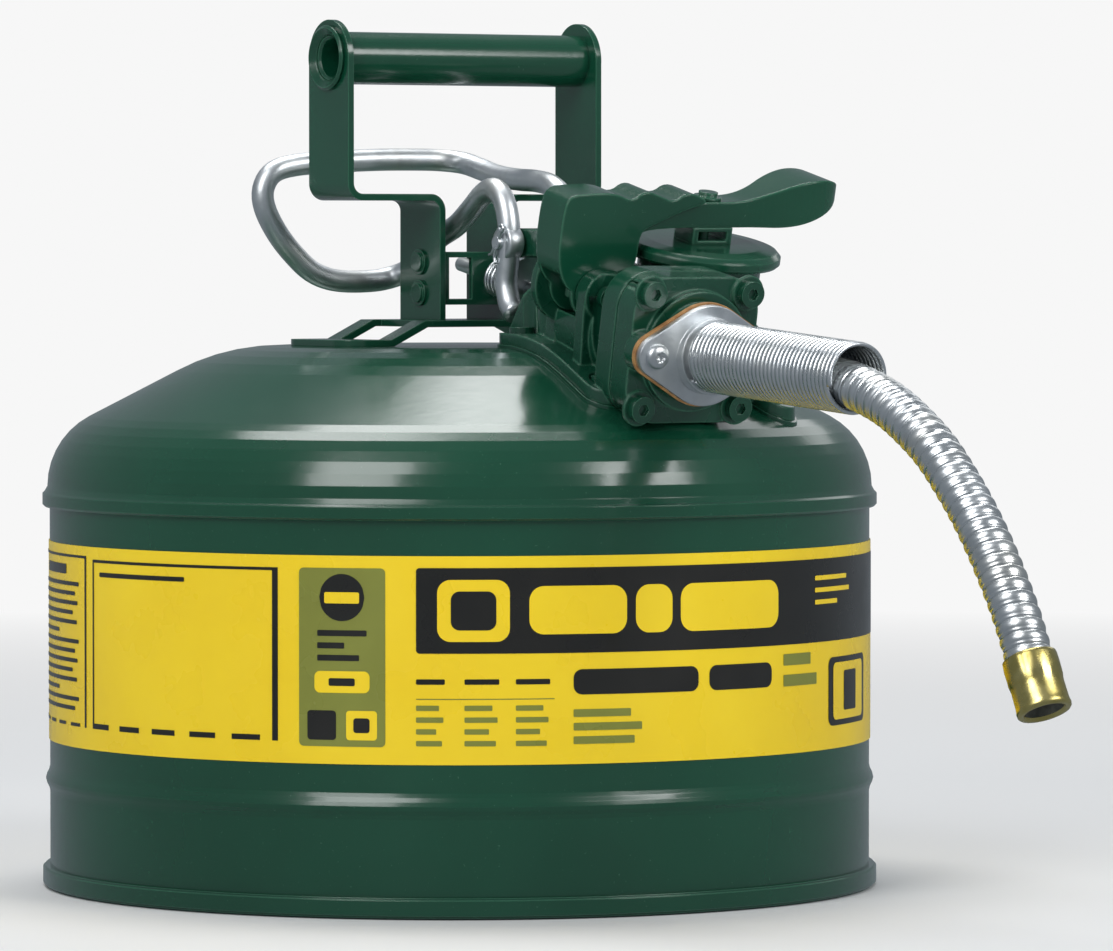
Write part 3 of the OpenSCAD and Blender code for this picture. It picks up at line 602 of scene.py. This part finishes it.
PIVOT = Vector((VALVE_X, -0.042, 0.2286))
ROD_RADIUS = 0.004
NEAR = -6
FAR = 20
LOOP = 32
ROD_ROUTE = [
    (NEAR, -46.4, 203.5), (NEAR, -42.9, 207), (NEAR, -41, 212), (NEAR, -40.6, 216), (NEAR, -41.6, 222),
    (NEAR, -42.4, 228.6), (NEAR, -42, 236), (NEAR, -39, 243.5), (NEAR, -33, 247.6), (NEAR, -26, 246.2),
    (NEAR, -18, 241), (NEAR, -8, 235), (NEAR, 4, 230.6), (NEAR, 14, 225.6), (NEAR, 23, 219.6),
    (NEAR - 3.4, 30, 216.4), (NEAR - 12, LOOP, 214.8), (-32, LOOP, 215), (-42, LOOP, 218),
    (-50, LOOP, 224.3), (-57, LOOP, 232.2), (-62, LOOP, 241), (-62.6, LOOP, 248), (-58.4, LOOP, 253.8),
    (-49, LOOP, 256.4), (-33, LOOP, 257.6), (-16, LOOP, 258.4), (0, LOOP, 258.6), (11, LOOP - 0.6, 258.4),
    (FAR - 2, 26.5, 257.4), (FAR, 18, 255.2), (FAR, 6, 252.6), (FAR, -8, 251.2), (FAR, -20, 250.6),
    (FAR, -30, 248.8), (FAR, -37.4, 244), (FAR, -41.4, 236.5), (FAR, -42.4, 228.6), (FAR, -41.6, 222),
    (FAR, -40.6, 216), (FAR, -41, 212), (FAR, -42.9, 207), (FAR, -46.4, 203.5),
]


EYE_PROFILE = [(2.4, -3.1), (5.6, -3.1), (6.2, -2.5), (6.2, 2.5), (5.6, 3.1), (2.4, 3.1)]


def make_trigger():
    path = smooth_path([Vector(p) * MM for p in ROD_ROUTE], 0.0016)
    rod = sweep("trigger_bent_rod", path, ROD_RADIUS, 28, ROD_ZINC)
    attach(rod, "trigger")
    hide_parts("trigger_rod")
    for label, x in (("rear", NEAR), ("front", FAR)):
        eye = turned(
            f"trigger_{label}_eye",
            [(r * MM, z * MM) for r, z in EYE_PROFILE],
            (x * MM, PIVOT.y, PIVOT.z), (1, 0, 0), 40, ROD_ZINC, closed=True,
        )
        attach(eye, "trigger")


SPRING_START = 0.108
SPRING_LENGTH = 0.0172
SPRING_RADIUS = 0.0065
SPRING_WIRE = 0.00075
SPRING_TURNS = 8


def make_spring():
    """The valve's coil spring, on the valve axis behind the cover face."""
    spring = coil(
        "valve_coil_spring", COVER_FACE + VALVE_BACK * SPRING_START, VALVE_BACK, SPRING_RADIUS,
        (SPRING_WIRE, SPRING_WIRE), SPRING_LENGTH, SPRING_TURNS, SPRING_ZINC, sides=12, pinch=0.14,
    )
    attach(spring, "can")
    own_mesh(spring)
    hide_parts("valve_spring")


def make_cotter():
    """A split pin through the rear end of the trigger's pin: an eye above and two spread legs below."""
    x = (NEAR - 4.9) * MM
    reach = 0.0042
    up = Vector((0, -0.5, 0.86)).normalized()
    side = Vector((1, 0, 0)).cross(up)
    base = Vector((x, PIVOT.y, PIVOT.z))
    path = [base - up * (reach + 0.0018) - side * 0.0022, base - up * reach - side * 0.0008]
    path += [base - side * 0.0006 + up * reach]
    for turn in range(1, 8):
        angle = math.pi * (1.25 - turn * 1.5 / 7)
        path.append(base + up * (reach + 0.0016 + 0.0013 * math.sin(angle)) + side * 0.0013 * math.cos(angle))
    path += [base + side * 0.0006 + up * reach, base - up * reach + side * 0.0008]
    path += [base - up * (reach + 0.0024) + side * 0.0030]
    cotter = sweep("split_pin", smooth_path(path, 0.0003), 0.00055, 10, PIN_ZINC, start=(1, 0, 0))
    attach(cotter, "trigger")
    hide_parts("pin_clip")


make_trigger()
make_spring()
make_cotter()
dress_nodes()

# ---------- Label graphics ----------

LABEL_RADIUS = 0.14700
LABEL_LIFT = 0.00012


def sticker(name, left, right, bottom, top, material, layer=1, corner=0.0, shape=None):
    """A printed patch on the label. left and right are degrees round the can, from -X towards -Y.

    shape, where given, returns the share of the half height that is filled at a place from -1 to 1 across.
    """
    radius = LABEL_RADIUS + LABEL_LIFT * layer
    span = math.radians(right - left) * radius
    columns = max(2, round(math.degrees(span / radius) / 0.6))
    if shape or corner:
        columns = max(columns, 28)
    vertices = []
    faces = []
    middle = (bottom + top) / 2
    half = (top - bottom) / 2
    for i in range(columns + 1):
        across = 0.5 - 0.5 * math.cos(math.pi * i / columns) if corner else i / columns
        angle = math.radians(left + (right - left) * across)
        height = half
        if shape:
            height = half * shape(2 * across - 1)
        elif corner:
            inset = corner - min(across * span, (1 - across) * span, corner)
            height = half - corner + math.sqrt(max(corner ** 2 - inset ** 2, 0))
        height = max(height, 1e-5)
        x = -radius * math.cos(angle)
        y = -radius * math.sin(angle)
        vertices.append((x, y, middle - height))
        vertices.append((x, y, middle + height))
        if i:
            faces.append((2 * i - 2, 2 * i, 2 * i + 1, 2 * i - 1))
    piece = mesh_object(name, vertices, faces, material)
    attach(piece, "can")
    return piece


def disc_shape(across):
    """Fills a round patch."""
    return math.sqrt(max(1 - across * across, 0))


def bars(name, left, right, tops, thickness, material, layer=1, lengths=(1.0,)):
    """Rows of plain bars that stand for small print."""
    for i, top in enumerate(tops):
        share = lengths[i % len(lengths)]
        end = left + (right - left) * share
        sticker(f"{name}_{i}", left, end, top - thickness, top, material, layer, 0.0003)


def frame_lines(name, left, right, bottom, top, side, thin, thick):
    """A write-on panel: thin left and top lines, a thick right line and a dashed lower one."""
    narrow = math.degrees(thin / LABEL_RADIUS)
    wide = math.degrees(thick / LABEL_RADIUS)
    sticker(f"{name}_left", left, left + narrow, bottom, top - side, INK_BLACK)
    sticker(f"{name}_top", left, right, top - thin, top, INK_BLACK, 1, thin / 2)
    sticker(f"{name}_right", right - wide, right, bottom, top, INK_BLACK)
    dashes = 5
    pitch = (right - left) / dashes
    for i in range(dashes):
        start = left + i * pitch
        sticker(f"{name}_dash_{i}", start, start + pitch * 0.62, bottom, bottom + thick * 0.85, INK_BLACK)


def rows(top, step, count):
    return [top - step * i for i in range(count)]


def make_label(half, turn):
    """One half of the label: small print, a write-on panel, an approvals panel and the black header."""
    at = FACING + turn
    tag = f"label_{half}"
    frame_lines(f"{tag}_notice", at - 91, at - 62.4, 0.0595, 0.1195, 0.001, 0.0009, 0.0014)
    sticker(f"{tag}_notice_head", at - 83, at - 70, 0.1125, 0.1160, INK_BLACK, 1, 0.0005)
    bars(f"{tag}_notice_line", at - 88, at - 65, rows(0.1100, 0.00335, 14), 0.0014, INK_BLACK, 1,
         (1.0, 0.94, 0.98, 0.9, 0.97, 0.62))
    frame_lines(f"{tag}_panel", at - 60.4, at - 24.9, 0.0595, 0.1185, 0.001, 0.0010, 0.0022)
    sticker(f"{tag}_panel_head", at - 58.4, at - 40, 0.1126, 0.1142, INK_BLACK, 1, 0.0004)
    sticker(f"{tag}_olive", at - 21.8, at - 9.9, 0.0580, 0.1186, INK_OLIVE, 1, 0.0016)
    sticker(f"{tag}_olive_disc", at - 18.9, at - 12.7, 0.1006, 0.1166, INK_BLACK, 2, shape=disc_shape)
    sticker(f"{tag}_olive_disc_bar", at - 18.2, at - 13.4, 0.1066, 0.1104, LABEL_YELLOW, 3, 0.0006)
    bars(f"{tag}_olive_line", at - 19.2, at - 12.4, rows(0.0975, 0.0042, 3), 0.0020, INK_BLACK, 2,
         (1.0, 0.55, 0.85))
    sticker(f"{tag}_olive_plate", at - 19.6, at - 12.0, 0.0762, 0.0836, LABEL_YELLOW, 2, 0.0020)
    sticker(f"{tag}_olive_plate_bar", at - 17.6, at - 14.0, 0.0786, 0.0812, INK_BLACK, 3, 0.0006)
    sticker(f"{tag}_olive_square_a", at - 20.6, at - 16.6, 0.0602, 0.0702, INK_BLACK, 2, 0.0012)
    sticker(f"{tag}_olive_square_b", at - 15.2, at - 11.0, 0.0602, 0.0702, LABEL_YELLOW, 2, 0.0012)
    sticker(f"{tag}_olive_square_c", at - 14.2, at - 12.0, 0.0627, 0.0677, INK_BLACK, 3, 0.0010)
    sticker(f"{tag}_header", at - 5.8, at + 87, 0.0898, 0.1188, INK_BLACK, 1, 0.0012)
    sticker(f"{tag}_emblem", at - 3.0, at + 6.6, 0.0938, 0.1148, LABEL_YELLOW, 2, 0.0045)
    sticker(f"{tag}_emblem_inner", at - 1.2, at + 4.8, 0.0977, 0.1109, INK_BLACK, 3, 0.0030)
    block = at + 9.2
    for i, width in enumerate((13.5, 5.5, 17.5)):
        sticker(f"{tag}_block_{i}", block, block + width, 0.0962, 0.1126, LABEL_YELLOW, 2, 0.0050)
        block += width + 1.3
    bars(f"{tag}_maker_line", at + 57, at + 68, rows(0.1130, 0.0042, 3), 0.0016, LABEL_YELLOW, 2,
         (0.9, 1.0, 0.6))
    word = at + 15.2
    for i, width in enumerate((18.5, 11.5)):
        sticker(f"{tag}_word_{i}", word, word + width, 0.0756, 0.0842, INK_BLACK, 1, 0.0030)
        word += width + 1.8
    bars(f"{tag}_grade_line", at + 49.5, at + 57.5, rows(0.0866, 0.0072, 2), 0.0040, INK_OLIVE, 1, (0.8, 1.0))
    bars(f"{tag}_volume_line", at + 15.2, at + 26, rows(0.0706, 0.0046, 3), 0.0026, INK_OLIVE, 1,
         (0.75, 0.9, 0.8))
    for column, (start, end) in enumerate(((-5.8, -2.0), (0.6, 5.2), (7.4, 12.0))):
        sticker(f"{tag}_table_head_{column}", at + start, at + end, 0.0793, 0.0811, INK_BLACK, 1, 0.0004)
        bars(f"{tag}_table_{column}", at + start, at + end, rows(0.0722, 0.0040, 4), 0.0018, INK_OLIVE, 1,
             (0.8, 0.95, 0.7, 0.9))
    sticker(f"{tag}_table_rule", at - 5.8, at + 12.6, 0.0742, 0.0745, INK_OLIVE)
    sticker(f"{tag}_symbol", at + 61, at + 76, 0.0600, 0.0840, INK_BLACK, 1, 0.0030)
    sticker(f"{tag}_symbol_inner", at + 62.4, at + 74.6, 0.0620, 0.0820, LABEL_YELLOW, 2, 0.0022)
    sticker(f"{tag}_symbol_bar", at + 66, at + 71, 0.0650, 0.0790, INK_BLACK, 3, 0.0008)


FACING = 90 + math.degrees(VIEW_AZIMUTH)
make_label("front", 0)
make_label("back", 180)

# ---------- Light, floor and finish ----------

LIT_POINT = Vector((0, 0, 0.16))
ROOM_COLOUR = (0.80, 0.90, 1.0)
ROOM_STRENGTH = 0.24
FLOOR_HALF = 9
FLOOR_DROP = 0.0006
FADE_START = 0.55
FADE_END = 1.9


def area_light(name, place, size, power):
    data = bpy.data.lights.new(name, "AREA")
    data.shape = "RECTANGLE"
    data.size = size[0]
    data.size_y = size[1]
    data.energy = power
    lamp = bpy.data.objects.new(name, data)
    bpy.context.scene.collection.objects.link(lamp)
    lamp.location = place
    lamp.rotation_mode = "QUATERNION"
    lamp.rotation_quaternion = (LIT_POINT - Vector(place)).to_track_quat("-Z", "Y")


def floor_paint():
    """A pale floor that fades into the background with distance, so that its horizon is soft."""
    s = Shader("stage_floor")
    s.set(
        Base_Color=s.mix(s.ramp(s.noise(0.8, 2), 0.3, 0.7), (0.76, 0.76, 0.76), (0.80, 0.80, 0.80)),
        Roughness=0.55,
        Specular_IOR_Level=0.2,
    )
    distance = s.add("ShaderNodeVectorMath", operation="LENGTH")
    s.link(s.place, distance.inputs[0])
    glow = s.add("ShaderNodeEmission")
    glow.inputs["Color"].default_value = (*BACKGROUND, 1)
    blend = s.add("ShaderNodeMixShader")
    s.link(s.ramp(distance.outputs["Value"], FADE_START, FADE_END), blend.inputs["Fac"])
    s.link(s.body.outputs["BSDF"], blend.inputs[1])
    s.link(glow.outputs["Emission"], blend.inputs[2])
    s.link(blend.outputs["Shader"], s.tree.nodes["Material Output"].inputs["Surface"])
    return s.material


def make_world():
    """The camera sees a plain pale background. Everything else is lit by a dim, cool studio."""
    world = bpy.data.worlds.new("studio")
    world.use_nodes = True
    nodes = world.node_tree.nodes
    links = world.node_tree.links
    room = nodes["Background"]
    room.inputs["Color"].default_value = (*ROOM_COLOUR, 1)
    room.inputs["Strength"].default_value = ROOM_STRENGTH
    pale = nodes.new("ShaderNodeBackground")
    pale.inputs["Color"].default_value = (*BACKGROUND, 1)
    path = nodes.new("ShaderNodeLightPath")
    mix = nodes.new("ShaderNodeMixShader")
    links.new(path.outputs["Is Camera Ray"], mix.inputs["Fac"])
    links.new(room.outputs["Background"], mix.inputs[1])
    links.new(pale.outputs["Background"], mix.inputs[2])
    links.new(mix.outputs["Shader"], nodes["World Output"].inputs["Surface"])
    bpy.context.scene.world = world


def make_stage():
    """The floor is kept out of reflections, so that the enamel stays as dark as its paint."""
    corners = [(-1, -1), (1, -1), (1, 1), (-1, 1)]
    floor = mesh_object(
        "floor", [(x * FLOOR_HALF, y * FLOOR_HALF, -FLOOR_DROP) for x, y in corners],
        [(0, 1, 2, 3)], floor_paint(), smooth=False,
    )
    floor.visible_glossy = False
    area_light("key", (-1.7, -0.9, 1.5), (1.0, 1.5), 25)
    area_light("right_box", (0.75, -1.9, 1.25), (1.0, 0.8), 19)
    area_light("overhead", (0.1, 0.5, 1.9), (1.3, 0.9), 22)
    area_light("rim", (1.7, 0.9, 1.3), (0.9, 0.9), 2.5)
    make_world()


def set_colours():
    """Plain display colours, so that the paint is shown as it was mixed."""
    view = bpy.context.scene.view_settings
    view.view_transform = "Standard"
    view.look = "None"
    view.exposure = 0


make_stage()
set_colours()
